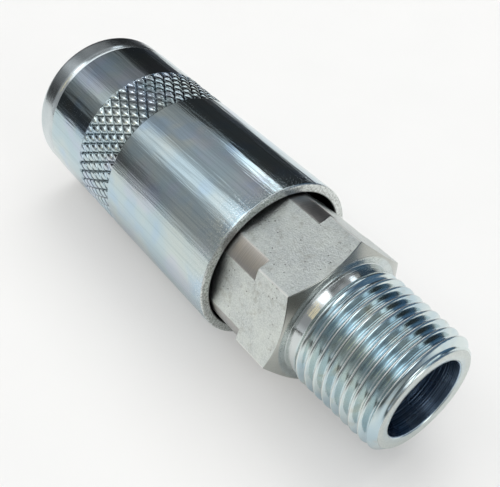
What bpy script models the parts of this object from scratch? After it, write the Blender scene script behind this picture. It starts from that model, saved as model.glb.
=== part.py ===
"""Quick disconnect coupler with a tapered male thread, as separate solids.

The coupler lies along X: the end that takes the plug points to -X and the pipe thread to +X.
The origin is on the axis, halfway along. Every station below is a distance from the nose face.
"""

import math

import bmesh
import bpy
import numpy as np

MM = 0.001

# Driving dimensions, in millimetres. Stations are distances from the nose face.
LENGTH = 90.3
NOSE_RADIUS = 14.7
NOSE_ROUND = 1.8
NOSE_SHOULDER_FRONT = 4.2
NOSE_SHOULDER_DROP = 0.35
NOSE_FLANGE_BACK = 5.6
SOCKET_RADIUS = 6.3
SOCKET_LEAD = 1.6
BARREL_RADIUS = 9.1
BARREL_BACK = 57.5
RUNNING_GAP = 0.3

BALL_COUNT = 8
BALL_RADIUS = 1.75
BALL_STATION = 12.5
BALL_REST_RADIUS = 7.35
BALL_LIFT = 1.1
BALL_HOLE_OUTER = 2.05
BALL_HOLE_INNER = 1.85

SLEEVE_TRAVEL = 6.0
SLEEVE_FRONT = 5.9
SLEEVE_MOUTH = 56.5
SLEEVE_RADIUS = 14.85
SLEEVE_LAND_BACK = 18.0
SPRING_CHAMBER_RADIUS = 12.6
SPRING_CHAMBER_BACK = 46.0
SLEEVE_MOUTH_BORE = 13.2
KNURL_FRONT = 17.0
KNURL_BACK = 27.4
KNURL_RELIEF = 0.1

WASHER_THICKNESS = 1.0
WASHER_RADIUS = 12.2
REAR_WASHER_FRONT = 44.6
SLEEVE_SPRING_RADIUS = 11.1
SLEEVE_SPRING_WIRE = 1.4
SLEEVE_SPRING_TURNS = 8

PLUG_SEAL_FRONT = 19.0
PLUG_SEAL_BACK = 21.6
PLUG_SEAL_GROOVE = 7.9
PLUG_SEAL_LIP = 6.0

SEAT_FRONT = 24.2
SEAT_BACK = 25.6
SEAT_RADIUS = 5.2
VALVE_CHAMBER_RADIUS = 7.0
VALVE_TRAVEL = 4.0
POPPET_NOSE_FRONT = 20.6
POPPET_NOSE_RADIUS = 4.4
POPPET_NOSE_BORE = 2.8
POPPET_NOSE_FLOOR = 24.6
POPPET_SEAL_FLOOR = 4.0
POPPET_HEAD_RADIUS = 6.3
POPPET_HEAD_FRONT = 27.6
POPPET_HEAD_BACK = 29.4
POPPET_STEM_RADIUS = 2.0
POPPET_STEM_BACK = 44.8
POPPET_SLOT_WIDTH = 2.0
POPPET_SLOT_DEPTH = 3.0
VALVE_SPRING_RADIUS = 4.6
VALVE_SPRING_WIRE = 0.9
VALVE_SPRING_TURNS = 7
GUIDE_FRONT = 43.0
GUIDE_BACK = 46.2
GUIDE_RADIUS = 6.8
GUIDE_HOLE_COUNT = 6
GUIDE_HOLE_RADIUS = 1.3
GUIDE_HOLE_CIRCLE = 4.7
CIRCLIP_GROOVE_FRONT = 46.6
CIRCLIP_GROOVE_BACK = 47.8
CIRCLIP_GROOVE_RADIUS = 7.7
CIRCLIP_INNER = 6.2
CIRCLIP_OPEN_DEG = 30.0

O_RING_STATION = 52.0
O_RING_GROOVE_WIDTH = 1.8
O_RING_GROOVE_FLOOR = 8.2
O_RING_SECTION = 0.5

BODY_FRONT = 46.0
BODY_NECK_RADIUS = 11.7
COUNTERBORE_RADIUS = 9.4
COUNTERBORE_BACK = 57.8
BODY_BORE = 7.0
HEX_BACK = 56.8
HEX_FRONT = 71.9
HEX_ACROSS_FLATS = 24.0
HEX_CORNER_DEG = 11.94
HEX_TURNED_TO = 63.8
HEX_TURNED_SPREAD_DEG = 10.0
HEX_FACE_RADIUS = 11.7
HEX_CHAMFER_DEG = 30.0

THREAD_PITCH = 25.4 / 14
THREAD_GAUGE_RADIUS = 20.955 / 2
THREAD_GAUGE_FROM_END = 8.2
THREAD_TAPER = 1 / 32
THREAD_DEPTH = 1.162
THREAD_START = 73.8
THREAD_FADE = 1.4
THREAD_NECK_RADIUS = 10.3
THREAD_FACE_RADIUS = 8.97
THREAD_CHAMFER_LENGTH = 1.2

BIG_SEGMENTS = 48
SMALL_SEGMENTS = 32
BODY_SEGMENTS = 36
SMOOTH_ANGLE = math.radians(32)


def clear_scene():
    for item in list(bpy.data.objects):
        bpy.data.objects.remove(item)


def along(station):
    """The X coordinate, in millimetres, of a distance from the nose face."""
    return station - LENGTH / 2


def metal(name, colour, roughness, metallic=1.0):
    made = bpy.data.materials.new(name)
    made.use_nodes = True
    shader = made.node_tree.nodes["Principled BSDF"]
    shader.inputs["Base Color"].default_value = (*colour, 1.0)
    shader.inputs["Roughness"].default_value = roughness
    shader.inputs["Metallic"].default_value = metallic
    made.diffuse_color = (*colour, 1.0)
    return made


def placed(name, mesh, material):
    mesh.materials.append(material)
    mesh.shade_smooth()
    mesh.set_sharp_from_angle(angle=SMOOTH_ANGLE)
    item = bpy.data.objects.new(name, mesh)
    bpy.context.scene.collection.objects.link(item)
    return item


def mesh_from(name, bm):
    """Merges the points that coincide, turns the faces outwards and writes the mesh."""
    bmesh.ops.remove_doubles(bm, verts=bm.verts, dist=1e-6)
    bmesh.ops.recalc_face_normals(bm, faces=bm.faces)
    mesh = bpy.data.meshes.new(name)
    bm.to_mesh(mesh)
    bm.free()
    return mesh


def turned(name, outline, material, segments, closed=True, angle=math.tau):
    """Turns an outline of (station, radius) points about the X axis, as a lathe would."""
    bm = bmesh.new()
    points = [bm.verts.new((along(s) * MM, 0, r * MM)) for s, r in outline]
    edges = [bm.edges.new(pair) for pair in zip(points, points[1:])]
    if closed:
        edges.append(bm.edges.new((points[-1], points[0])))
    whole = angle == math.tau
    bmesh.ops.spin(
        bm,
        geom=points + edges,
        cent=(0, 0, 0),
        axis=(1, 0, 0),
        angle=angle,
        steps=segments,
        use_merge=whole,
    )
    if not whole:
        bmesh.ops.holes_fill(bm, edges=[e for e in bm.edges if e.is_boundary], sides=0)
    return placed(name, mesh_from(name, bm), material)


def arc(station, radius, size, first_deg, last_deg, steps):
    """Points of a circular arc in the (station, radius) plane, first to last."""
    turns = np.radians(np.linspace(first_deg, last_deg, steps + 1))
    return [(station + size * math.cos(t), radius + size * math.sin(t)) for t in turns]


def ring_section(station, radius, size, sides):
    """The closed circular section of an O-ring."""
    return arc(station, radius, size, 0, 360 - 360 / sides, sides - 1)


def band(front, back, inner, outer):
    """The closed section of a plain ring."""
    return [(front, inner), (front, outer), (back, outer), (back, inner)]


def cutters(name, meshes_and_places):
    """A collection of shapes to cut away, which are not part of the coupler."""
    group = bpy.data.collections.new(name)
    bpy.context.scene.collection.children.link(group)
    for number, (mesh, place, turn) in enumerate(meshes_and_places, 1):
        item = bpy.data.objects.new(f"{name}_{number}", mesh)
        item.location = place
        item.rotation_euler = turn
        item.hide_render = True
        item.display_type = "WIRE"
        group.objects.link(item)
    return group


def cut(item, group):
    boolean = item.modifiers.new("cut", "BOOLEAN")
    boolean.operation = "DIFFERENCE"
    boolean.operand_type = "COLLECTION"
    boolean.collection = group
    boolean.solver = "EXACT"


def rod_mesh(name, radius_start, radius_end, length, segments):
    """A straight or tapered rod along its own Z, centred on its origin."""
    bm = bmesh.new()
    bmesh.ops.create_cone(
        bm,
        cap_ends=True,
        segments=segments,
        radius1=radius_start * MM,
        radius2=radius_end * MM,
        depth=length * MM,
    )
    return mesh_from(name, bm)


def spring(name, front, back, radius, wire, turns, points_per_turn, material):
    """A round wire coiled about the X axis between two stations."""
    curve = bpy.data.curves.new(name, "CURVE")
    curve.dimensions = "3D"
    curve.bevel_depth = wire / 2 * MM
    curve.bevel_resolution = 1
    curve.use_fill_caps = True
    count = turns * points_per_turn + 1
    line = curve.splines.new("POLY")
    line.points.add(count - 1)
    share = np.linspace(0, 1, count)
    stations = front + wire / 2 + share * (back - front - wire)
    turn = share * turns * math.tau
    for point, station, t in zip(line.points, stations, turn):
        place = (along(station) * MM, radius * math.cos(t) * MM, radius * math.sin(t) * MM)
        point.co = (*place, 1.0)
    curve.materials.append(material)
    item = bpy.data.objects.new(name, curve)
    bpy.context.scene.collection.objects.link(item)
    return item


# The barrel: a turned socket whose nose flange stops the sleeve. It holds the locking balls,
# the plug seal, the valve seat and the whole check valve.
def make_socket_barrel(steel):
    dome = arc(NOSE_ROUND, NOSE_RADIUS - NOSE_ROUND, NOSE_ROUND, 180, 90, 5)
    o_ring_front = O_RING_STATION - O_RING_GROOVE_WIDTH / 2
    o_ring_back = O_RING_STATION + O_RING_GROOVE_WIDTH / 2
    outside = [
        (0, SOCKET_RADIUS + SOCKET_LEAD),
        *dome,
        (NOSE_SHOULDER_FRONT, NOSE_RADIUS),
        (NOSE_FLANGE_BACK, NOSE_RADIUS - NOSE_SHOULDER_DROP),
        (NOSE_FLANGE_BACK, BARREL_RADIUS),
        (o_ring_front, BARREL_RADIUS),
        (o_ring_front, O_RING_GROOVE_FLOOR),
        (o_ring_back, O_RING_GROOVE_FLOOR),
        (o_ring_back, BARREL_RADIUS),
        (BARREL_BACK, BARREL_RADIUS),
    ]
    inside = [
        (BARREL_BACK, VALVE_CHAMBER_RADIUS),
        (CIRCLIP_GROOVE_BACK, VALVE_CHAMBER_RADIUS),
        (CIRCLIP_GROOVE_BACK, CIRCLIP_GROOVE_RADIUS),
        (CIRCLIP_GROOVE_FRONT, CIRCLIP_GROOVE_RADIUS),
        (CIRCLIP_GROOVE_FRONT, VALVE_CHAMBER_RADIUS),
        (SEAT_BACK, VALVE_CHAMBER_RADIUS),
        (SEAT_BACK, SEAT_RADIUS),
        (SEAT_FRONT, SEAT_RADIUS),
        (SEAT_FRONT - 0.8, SOCKET_RADIUS),
        (PLUG_SEAL_BACK, SOCKET_RADIUS),
        (PLUG_SEAL_BACK, PLUG_SEAL_GROOVE),
        (PLUG_SEAL_FRONT, PLUG_SEAL_GROOVE),
        (PLUG_SEAL_FRONT, SOCKET_RADIUS),
        (SOCKET_LEAD, SOCKET_RADIUS),
    ]
    barrel = turned("socket_barrel", outside + inside, steel, BIG_SEGMENTS)
    inner_end = SOCKET_RADIUS - 0.6
    outer_end = BARREL_RADIUS + 0.8
    hole = rod_mesh("ball_hole", BALL_HOLE_INNER, BALL_HOLE_OUTER, outer_end - inner_end, 20)
    middle = (inner_end + outer_end) / 2
    places = [
        (
            hole,
            (along(BALL_STATION) * MM, middle * math.cos(a) * MM, middle * math.sin(a) * MM),
            (a - math.pi / 2, 0, 0),
        )
        for a in ball_angles()
    ]
    cut(barrel, cutters("ball_holes", places))


def ball_angles():
    return [(number + 0.5) * math.tau / BALL_COUNT for number in range(BALL_COUNT)]


# The locking balls: hardened steel balls in the barrel's radial holes, which drop into the
# groove of the plug and rise into the front of the sleeve when it is drawn back.
def make_locking_balls(steel):
    for number, a in enumerate(ball_angles(), 1):
        name = f"locking_ball_{number}"
        bm = bmesh.new()
        bmesh.ops.create_uvsphere(bm, u_segments=12, v_segments=8, radius=BALL_RADIUS * MM)
        ball = placed(name, mesh_from(name, bm), steel)
        ball.location = (
            along(BALL_STATION) * MM,
            BALL_REST_RADIUS * math.cos(a) * MM,
            BALL_REST_RADIUS * math.sin(a) * MM,
        )


# The sleeve: slides back over the turned-down hexagon corners to free the balls. Its front
# bore is a cone that lifts the balls' way out as it moves.
def make_sleeve(steel):
    land = BALL_REST_RADIUS + BALL_RADIUS + RUNNING_GAP
    relief = land + BALL_LIFT
    knurl_radius = SLEEVE_RADIUS - KNURL_RELIEF
    outside = [
        (SLEEVE_FRONT, SLEEVE_RADIUS - 0.3),
        (SLEEVE_FRONT + 0.3, SLEEVE_RADIUS),
        (KNURL_FRONT, SLEEVE_RADIUS),
        (KNURL_FRONT, knurl_radius),
        (KNURL_BACK, knurl_radius),
        (KNURL_BACK, SLEEVE_RADIUS),
        (SLEEVE_MOUTH - 0.4, SLEEVE_RADIUS),
        (SLEEVE_MOUTH, SLEEVE_RADIUS - 0.4),
    ]
    inside = [
        (SLEEVE_MOUTH, SLEEVE_MOUTH_BORE),
        (SPRING_CHAMBER_BACK, SLEEVE_MOUTH_BORE),
        (SPRING_CHAMBER_BACK - 0.6, SPRING_CHAMBER_RADIUS),
        (SLEEVE_LAND_BACK, SPRING_CHAMBER_RADIUS),
        (SLEEVE_LAND_BACK, land),
        (BALL_STATION, land),
        (BALL_STATION - SLEEVE_TRAVEL, relief),
        (SLEEVE_FRONT, relief),
    ]
    turned("sleeve", outside + inside, steel, BIG_SEGMENTS)


# The sleeve's return spring and the two hardened washers that it turns between.
def make_sleeve_spring(steel):
    front = SLEEVE_LAND_BACK + RUNNING_GAP
    inner = BARREL_RADIUS + RUNNING_GAP
    section = band(front, front + WASHER_THICKNESS, inner, WASHER_RADIUS)
    turned("front_spring_washer", section, steel, SMALL_SEGMENTS)
    back = REAR_WASHER_FRONT + WASHER_THICKNESS
    section = band(REAR_WASHER_FRONT, back, inner, WASHER_RADIUS)
    turned("rear_spring_washer", section, steel, SMALL_SEGMENTS)
    spring(
        "sleeve_spring",
        front + WASHER_THICKNESS + RUNNING_GAP,
        REAR_WASHER_FRONT - RUNNING_GAP,
        SLEEVE_SPRING_RADIUS,
        SLEEVE_SPRING_WIRE,
        SLEEVE_SPRING_TURNS,
        16,
        steel,
    )


# The plug seal: a moulded rubber ring with a rounded lip, snapped into the socket's groove.
def make_plug_seal(rubber):
    gap = 0.15
    front = PLUG_SEAL_FRONT + gap
    back = PLUG_SEAL_BACK - gap
    middle = (front + back) / 2
    outline = [
        (front, PLUG_SEAL_GROOVE - gap),
        (back, PLUG_SEAL_GROOVE - gap),
        (back, SOCKET_RADIUS + gap),
        (middle + 0.4, PLUG_SEAL_LIP),
        (middle - 0.4, PLUG_SEAL_LIP),
        (front, SOCKET_RADIUS + gap),
    ]
    turned("plug_seal", outline, rubber, SMALL_SEGMENTS)


# The static O-ring that seals the barrel in the threaded body.
def make_barrel_o_ring(rubber):
    radius = O_RING_GROOVE_FLOOR + O_RING_SECTION + 0.13
    section = ring_section(O_RING_STATION, radius, O_RING_SECTION, 8)
    turned("barrel_o_ring", section, rubber, SMALL_SEGMENTS)


# The valve: a brass poppet whose slotted nose the plug pushes back. A rubber ring snapped
# behind the nose closes on the seat, and the stem slides in the guide.
def make_valve(brass, rubber):
    seal_front = SEAT_BACK + 0.15
    groove_front = seal_front - 0.15
    outline = [
        (POPPET_NOSE_FLOOR, 0),
        (POPPET_NOSE_FLOOR, POPPET_NOSE_BORE),
        (POPPET_NOSE_FRONT, POPPET_NOSE_BORE),
        (POPPET_NOSE_FRONT, POPPET_NOSE_RADIUS - 0.3),
        (POPPET_NOSE_FRONT + 0.3, POPPET_NOSE_RADIUS),
        (groove_front, POPPET_NOSE_RADIUS),
        (groove_front, POPPET_SEAL_FLOOR),
        (POPPET_HEAD_FRONT, POPPET_SEAL_FLOOR),
        (POPPET_HEAD_FRONT, POPPET_HEAD_RADIUS),
        (POPPET_HEAD_BACK - 0.4, POPPET_HEAD_RADIUS),
        (POPPET_HEAD_BACK, POPPET_HEAD_RADIUS - 0.4),
        (POPPET_HEAD_BACK, POPPET_STEM_RADIUS),
        (POPPET_STEM_BACK - 0.4, POPPET_STEM_RADIUS),
        (POPPET_STEM_BACK, POPPET_STEM_RADIUS - 0.4),
        (POPPET_STEM_BACK, 0),
    ]
    poppet = turned("valve_poppet", outline, brass, SMALL_SEGMENTS, closed=False)
    slot_front = POPPET_NOSE_FRONT - 1.0
    slot_length = 1.0 + POPPET_SLOT_DEPTH
    centre = (along(slot_front + slot_length / 2) * MM, 0, 0)
    places = []
    for tilt in (0.0, math.pi / 2):
        bm = bmesh.new()
        bmesh.ops.create_cube(bm, size=1.0)
        size = (slot_length * MM, POPPET_SLOT_WIDTH * MM, 3 * POPPET_NOSE_RADIUS * MM)
        bmesh.ops.scale(bm, vec=size, verts=bm.verts)
        places.append((mesh_from("nose_slot", bm), centre, (tilt, 0, 0)))
    cut(poppet, cutters("nose_slots", places))
    inner = POPPET_SEAL_FLOOR + 0.15
    outer = VALVE_CHAMBER_RADIUS - 0.5
    section = band(seal_front, POPPET_HEAD_FRONT - 0.15, inner, outer)
    turned("valve_seal", section, rubber, SMALL_SEGMENTS)


# The valve's guide: a drilled disc held in the barrel by a circlip, with the valve's
# spring between it and the poppet's head.
def make_valve_guide(brass, steel):
    bore = POPPET_STEM_RADIUS + 0.2
    guide = turned(
        "valve_guide",
        band(GUIDE_FRONT, GUIDE_BACK, bore, GUIDE_RADIUS),
        brass,
        SMALL_SEGMENTS,
    )
    thickness = GUIDE_BACK - GUIDE_FRONT
    hole = rod_mesh("air_hole", GUIDE_HOLE_RADIUS, GUIDE_HOLE_RADIUS, thickness + 2, 16)
    middle = along((GUIDE_FRONT + GUIDE_BACK) / 2) * MM
    angles = [number * math.tau / GUIDE_HOLE_COUNT for number in range(GUIDE_HOLE_COUNT)]
    places = [
        (
            hole,
            (
                middle,
                GUIDE_HOLE_CIRCLE * math.cos(a) * MM,
                GUIDE_HOLE_CIRCLE * math.sin(a) * MM,
            ),
            (0, math.pi / 2, 0),
        )
        for a in angles
    ]
    cut(guide, cutters("air_holes", places))
    spring(
        "valve_spring",
        POPPET_HEAD_BACK + RUNNING_GAP,
        GUIDE_FRONT - RUNNING_GAP,
        VALVE_SPRING_RADIUS,
        VALVE_SPRING_WIRE,
        VALVE_SPRING_TURNS,
        12,
        steel,
    )
    front = CIRCLIP_GROOVE_FRONT + 0.15
    back = CIRCLIP_GROOVE_BACK - 0.15
    turned(
        "guide_circlip",
        band(front, back, CIRCLIP_INNER, CIRCLIP_GROOVE_RADIUS - 0.15),
        steel,
        24,
        angle=math.radians(360 - CIRCLIP_OPEN_DEG),
    )


def hex_radius(turn):
    """The distance from the axis to the hexagon at an angle from +Y towards +Z."""
    from_corner = (turn - math.radians(HEX_CORNER_DEG)) % (math.pi / 3)
    return HEX_ACROSS_FLATS / 2 / np.cos(from_corner - math.pi / 6)


def thread_rows(turn):
    """Rows that follow the helix, alternately crest and root, held between the two ends."""
    first = THREAD_START - THREAD_PITCH
    count = 2 * math.ceil((LENGTH - first) / THREAD_PITCH) + 3
    number = np.arange(count)[:, None]
    station = first + THREAD_PITCH * (number / 2 + turn[None, :] / math.tau)
    station = np.clip(station, THREAD_START, LENGTH)
    major = THREAD_GAUGE_RADIUS + (LENGTH - THREAD_GAUGE_FROM_END - station) * THREAD_TAPER
    fade = np.clip((station - THREAD_START) / THREAD_FADE, 0, 1)
    crest = THREAD_NECK_RADIUS + (major - THREAD_NECK_RADIUS) * fade
    cone = THREAD_FACE_RADIUS + (LENGTH - station) * (
        (THREAD_NECK_RADIUS - THREAD_FACE_RADIUS) / THREAD_CHAMFER_LENGTH
    )
    radius = np.minimum(crest - THREAD_DEPTH * fade * (number % 2), cone)
    return station, radius


# The threaded body: bar-stock hexagon and tapered pipe thread in one piece. The hexagon's
# corners are turned down where the sleeve slides over them. The barrel screws in from the front.
def make_threaded_body(steel):
    corner_turn = math.radians(HEX_CORNER_DEG)
    turn = corner_turn + np.linspace(0, math.tau, BODY_SEGMENTS + 1)
    flat = hex_radius(turn)
    spread = math.radians(30 - HEX_TURNED_SPREAD_DEG)
    corner = np.minimum(flat, HEX_ACROSS_FLATS / 2 / math.cos(spread))
    slope = math.tan(math.radians(HEX_CHAMFER_DEG))
    chamfer = HEX_FRONT - (flat - HEX_FACE_RADIUS) * slope
    level = np.ones_like(turn)
    before = [
        (LENGTH * level, BODY_BORE * level),
        (COUNTERBORE_BACK * level, BODY_BORE * level),
        (COUNTERBORE_BACK * level, COUNTERBORE_RADIUS * level),
        (BODY_FRONT * level, COUNTERBORE_RADIUS * level),
        (BODY_FRONT * level, (BODY_NECK_RADIUS - 0.4) * level),
        ((BODY_FRONT + 0.4) * level, BODY_NECK_RADIUS * level),
        (HEX_BACK * level, BODY_NECK_RADIUS * level),
        (HEX_BACK * level, corner),
        (HEX_TURNED_TO * level, corner),
        (HEX_TURNED_TO * level, flat),
        (chamfer, flat),
        (HEX_FRONT * level, HEX_FACE_RADIUS * level),
        (HEX_FRONT * level, THREAD_NECK_RADIUS * level),
    ]
    thread_station, thread_radius = thread_rows(turn - corner_turn)
    station = np.vstack([np.array([row[0] for row in before]), thread_station])
    radius = np.vstack([np.array([row[1] for row in before]), thread_radius])
    points = np.stack(
        [along(station), radius * np.cos(turn), radius * np.sin(turn)], axis=-1
    )
    rows, columns = station.shape
    index = np.arange(rows * columns).reshape(rows, columns)
    following = np.roll(index, -1, axis=0)
    faces = np.stack(
        [index[:, :-1], index[:, 1:], following[:, 1:], following[:, :-1]], axis=-1
    )
    sheet = bpy.data.meshes.new("threaded_body_grid")
    sheet.from_pydata((points.reshape(-1, 3) * MM).tolist(), [], faces.reshape(-1, 4).tolist())
    bm = bmesh.new()
    bm.from_mesh(sheet)
    bpy.data.meshes.remove(sheet)
    placed("threaded_body", mesh_from("threaded_body", bm), steel)


clear_scene()
bright_zinc = metal("bright_zinc", (0.62, 0.66, 0.68), 0.22)
dull_zinc = metal("dull_zinc", (0.55, 0.56, 0.55), 0.42)
hard_steel = metal("hard_steel", (0.66, 0.66, 0.67), 0.12)
spring_steel = metal("spring_steel", (0.40, 0.40, 0.42), 0.30)
brass = metal("brass", (0.72, 0.54, 0.26), 0.28)
nitrile = metal("nitrile", (0.02, 0.02, 0.022), 0.6, metallic=0.0)

make_threaded_body(dull_zinc)
make_socket_barrel(bright_zinc)
make_locking_balls(hard_steel)
make_sleeve(bright_zinc)
make_sleeve_spring(spring_steel)
make_plug_seal(nitrile)
make_barrel_o_ring(nitrile)
make_valve(brass, nitrile)
make_valve_guide(brass, spring_steel)
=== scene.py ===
"""Quick disconnect coupler: the finished look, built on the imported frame.

The coupler lies along X with its plug socket to -X and its pipe thread to +X. Lengths in the
script are millimetres until a mesh is made. A station is a distance from the nose face.
"""

import math

import bmesh
import bpy
import numpy as np
from mathutils import Matrix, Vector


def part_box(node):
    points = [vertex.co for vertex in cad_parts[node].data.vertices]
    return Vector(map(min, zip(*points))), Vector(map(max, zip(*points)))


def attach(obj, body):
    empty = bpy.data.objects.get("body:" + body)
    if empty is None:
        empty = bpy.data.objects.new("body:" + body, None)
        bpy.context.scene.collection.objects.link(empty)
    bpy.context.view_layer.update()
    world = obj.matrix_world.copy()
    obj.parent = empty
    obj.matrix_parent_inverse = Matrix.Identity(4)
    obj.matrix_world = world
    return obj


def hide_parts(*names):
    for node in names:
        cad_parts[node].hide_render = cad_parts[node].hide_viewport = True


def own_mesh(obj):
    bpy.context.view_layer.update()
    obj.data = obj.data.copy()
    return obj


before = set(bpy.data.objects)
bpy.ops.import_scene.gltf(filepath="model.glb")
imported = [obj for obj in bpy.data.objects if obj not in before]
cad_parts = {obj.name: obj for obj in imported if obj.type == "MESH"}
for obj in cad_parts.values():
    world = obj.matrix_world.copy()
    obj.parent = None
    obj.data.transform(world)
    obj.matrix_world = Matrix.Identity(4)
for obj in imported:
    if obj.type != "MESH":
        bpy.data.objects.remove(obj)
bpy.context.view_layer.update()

MM = 0.001
nose_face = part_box("socket_barrel")[0].x / MM
thread_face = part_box("threaded_body")[1].x / MM
length = thread_face - nose_face


# --- Threaded body -------------------------------------------------------------------------
# One piece turned from hexagon bar: a wrench hexagon whose corners are turned down where the
# sleeve slides over them, a plain neck, and a tapered pipe thread cut with a die. It is zinc
# plated with a clear blue passivate, which stays dull and grainy on the bar's own flats.

bore_radius = 7.05
hex_flats = 24.0
hex_corner_turn = math.radians(11.94)
hex_corner_round = 0.15
hex_back = 54.0
hex_front = 71.9
hex_turned_to = 63.8
hex_turned_radius = 12.95
hex_face_radius = 11.7
hex_chamfer_slope = math.tan(math.radians(30))
collar_radius = 11.7
collar_front = 46.0
counterbore_radius = 9.4
counterbore_back = 57.8
neck_radius = 10.45
thread_start = 74.0
thread_pitch = 25.4 / 14
thread_gauge_radius = 20.955 / 2
thread_gauge_plane = length - 8.2
thread_taper = 1 / 32
thread_depth = 0.640327 * thread_pitch
thread_round = 0.137329 * thread_pitch
thread_flank = math.radians(27.5)
thread_face_radius = 8.97
thread_chamfer = 1.25
thread_run_up = 0.7
thread_deepening = 2.2
thread_phases = 16


def softened(corners, breaks, steps=4):
    """Rounds the corners of a closed outline. Each corner becomes a quadratic curve that
    starts and ends its break away along the two sides, with one more point on each side
    half as far again, which keeps the sides flat under smooth shading."""
    corners = np.asarray(corners, float)
    breaks = np.asarray(breaks, float).reshape((-1,) + (1,) * (corners.ndim - 1))

    def towards(neighbours):
        step = neighbours - corners
        return step / np.maximum(np.linalg.norm(step, axis=-1, keepdims=True), 1e-9)

    back = towards(np.roll(corners, 1, axis=0)) * breaks
    ahead = towards(np.roll(corners, -1, axis=0)) * breaks
    share = np.linspace(0, 1, steps + 1).reshape((1, -1) + (1,) * (corners.ndim - 1))
    curve = corners[:, None] + (1 - share) ** 2 * back[:, None] + share**2 * ahead[:, None]
    rows = [(corners + 1.5 * back)[:, None], curve, (corners + 1.5 * ahead)[:, None]]
    return np.concatenate(rows, axis=1).reshape((-1,) + corners.shape[1:])


def around_axis(station, radius, turn):
    """Points at a station and a radius, turned about the X axis from +Y towards +Z."""
    station, radius, turn = np.broadcast_arrays(station, radius, turn)
    return np.stack(
        [nose_face + station, radius * np.cos(turn), radius * np.sin(turn)], axis=-1
    )


def grid_faces(rows, columns, closed_rows, closed_columns):
    """The four-cornered faces of a grid of points numbered row by row."""
    index = np.arange(rows * columns).reshape(rows, columns)
    if closed_rows:
        index = np.vstack([index, index[:1]])
    if closed_columns:
        index = np.hstack([index, index[:, :1]])
    corners = [index[:-1, :-1], index[:-1, 1:], index[1:, 1:], index[1:, :-1]]
    return np.stack(corners, axis=-1).reshape(-1, 4)


def solid(name, points, faces, sharp_deg=38):
    """A closed mesh object from points in millimetres. Points that coincide are merged, and
    the faces are turned round if the volume they enclose comes out negative."""
    points = points.reshape(-1, 3)
    a, b, c = (points[faces[:, k]] for k in (0, 1, 2))
    volume = np.einsum("ij,ij->i", a, np.cross(b, c)).sum()
    if faces.shape[1] == 4:
        d = points[faces[:, 3]]
        volume += np.einsum("ij,ij->i", a, np.cross(c, d)).sum()
    if volume < 0:
        faces = faces[:, ::-1]
    mesh = bpy.data.meshes.new(name)
    mesh.vertices.add(len(points))
    mesh.vertices.foreach_set("co", (points * MM).astype(np.float32).ravel())
    mesh.loops.add(faces.size)
    mesh.loops.foreach_set("vertex_index", faces.astype(np.int32).ravel())
    mesh.polygons.add(len(faces))
    mesh.polygons.foreach_set("loop_start", np.arange(0, faces.size, faces.shape[1]))
    mesh.update(calc_edges=True)
    merged = bmesh.new()
    merged.from_mesh(mesh)
    bmesh.ops.remove_doubles(merged, verts=merged.verts, dist=2e-7)
    merged.to_mesh(mesh)
    merged.free()
    mesh.shade_smooth()
    mesh.set_sharp_from_angle(angle=math.radians(sharp_deg))
    piece = bpy.data.objects.new(name, mesh)
    bpy.context.scene.collection.objects.link(piece)
    return piece


def turned(name, outline, columns=256, sharp_deg=38):
    """A closed outline of (station, radius) points turned once round the X axis."""
    turn = np.arange(columns) * math.tau / columns
    points = around_axis(outline[:, None, 0], outline[:, None, 1], turn[None, :])
    faces = grid_faces(len(outline), columns, True, True)
    return solid(name, points, faces, sharp_deg)


def hexagon(turn):
    """Distance from the axis to the bar's outline: flats, with each corner a small arc of
    a circle that touches both of its flats."""
    off_corner = (turn - hex_corner_turn + math.pi / 6) % (math.pi / 3) - math.pi / 6
    off_corner = np.abs(off_corner)
    flat = hex_flats / 2 / np.cos(math.pi / 6 - off_corner)
    centre = (hex_flats / 2 - hex_corner_round) / math.cos(math.pi / 6)
    inside = np.maximum(hex_corner_round**2 - (centre * np.sin(off_corner)) ** 2, 0)
    arc = centre * np.cos(off_corner) + np.sqrt(inside)
    touch = math.atan2(
        hex_corner_round * math.sin(math.pi / 6),
        centre + hex_corner_round * math.cos(math.pi / 6),
    )
    return np.where(off_corner < touch, arc, flat)


def thread_form(phase):
    """Depth below the crest of a 55 degree rounded thread, by position along one pitch: an
    arc over the crest, a straight flank, and an arc in the root."""
    along = np.abs((phase + 0.5) % 1 - 0.5) * thread_pitch
    flank = along / math.tan(thread_flank) - thread_pitch * 0.960491 / 6
    over_crest = thread_round - np.sqrt(np.maximum(thread_round**2 - along**2, 0))
    from_root = thread_pitch / 2 - along
    in_root = np.sqrt(np.maximum(thread_round**2 - from_root**2, 0)) - thread_round
    in_root += thread_depth
    touch = thread_round * math.cos(thread_flank)
    depth = np.where(along < touch, over_crest, flank)
    return np.where(from_root < touch, in_root, depth)


def thread_surface(turn):
    """Rows of the thread. Each row keeps one place on the thread form and follows the helix,
    one pitch along the axis in one turn, and is held between the neck and the end face. The
    crests rise from the neck over the run-up, and the grooves reach full depth more slowly."""
    first = thread_start - thread_pitch
    count = thread_phases * (math.ceil((length - first) / thread_pitch) + 1) + 1
    phase = np.arange(count)[:, None] / thread_phases
    station = first + thread_pitch * (phase + turn[None, :] / math.tau)
    station = np.clip(station, thread_start, length)
    crest = thread_gauge_radius + (thread_gauge_plane - station) * thread_taper
    rise = np.clip((station - thread_start) / thread_run_up, 0, 1)
    sink = np.clip((station - thread_start) / thread_deepening, 0, 1)
    ridge = neck_radius + (crest - neck_radius) * rise
    chamfer_slope = (neck_radius - thread_face_radius) / thread_chamfer
    chamfer = thread_face_radius + (length - station) * chamfer_slope
    radius = np.minimum(ridge - thread_form(phase) * sink, chamfer)
    return station, radius


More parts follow.
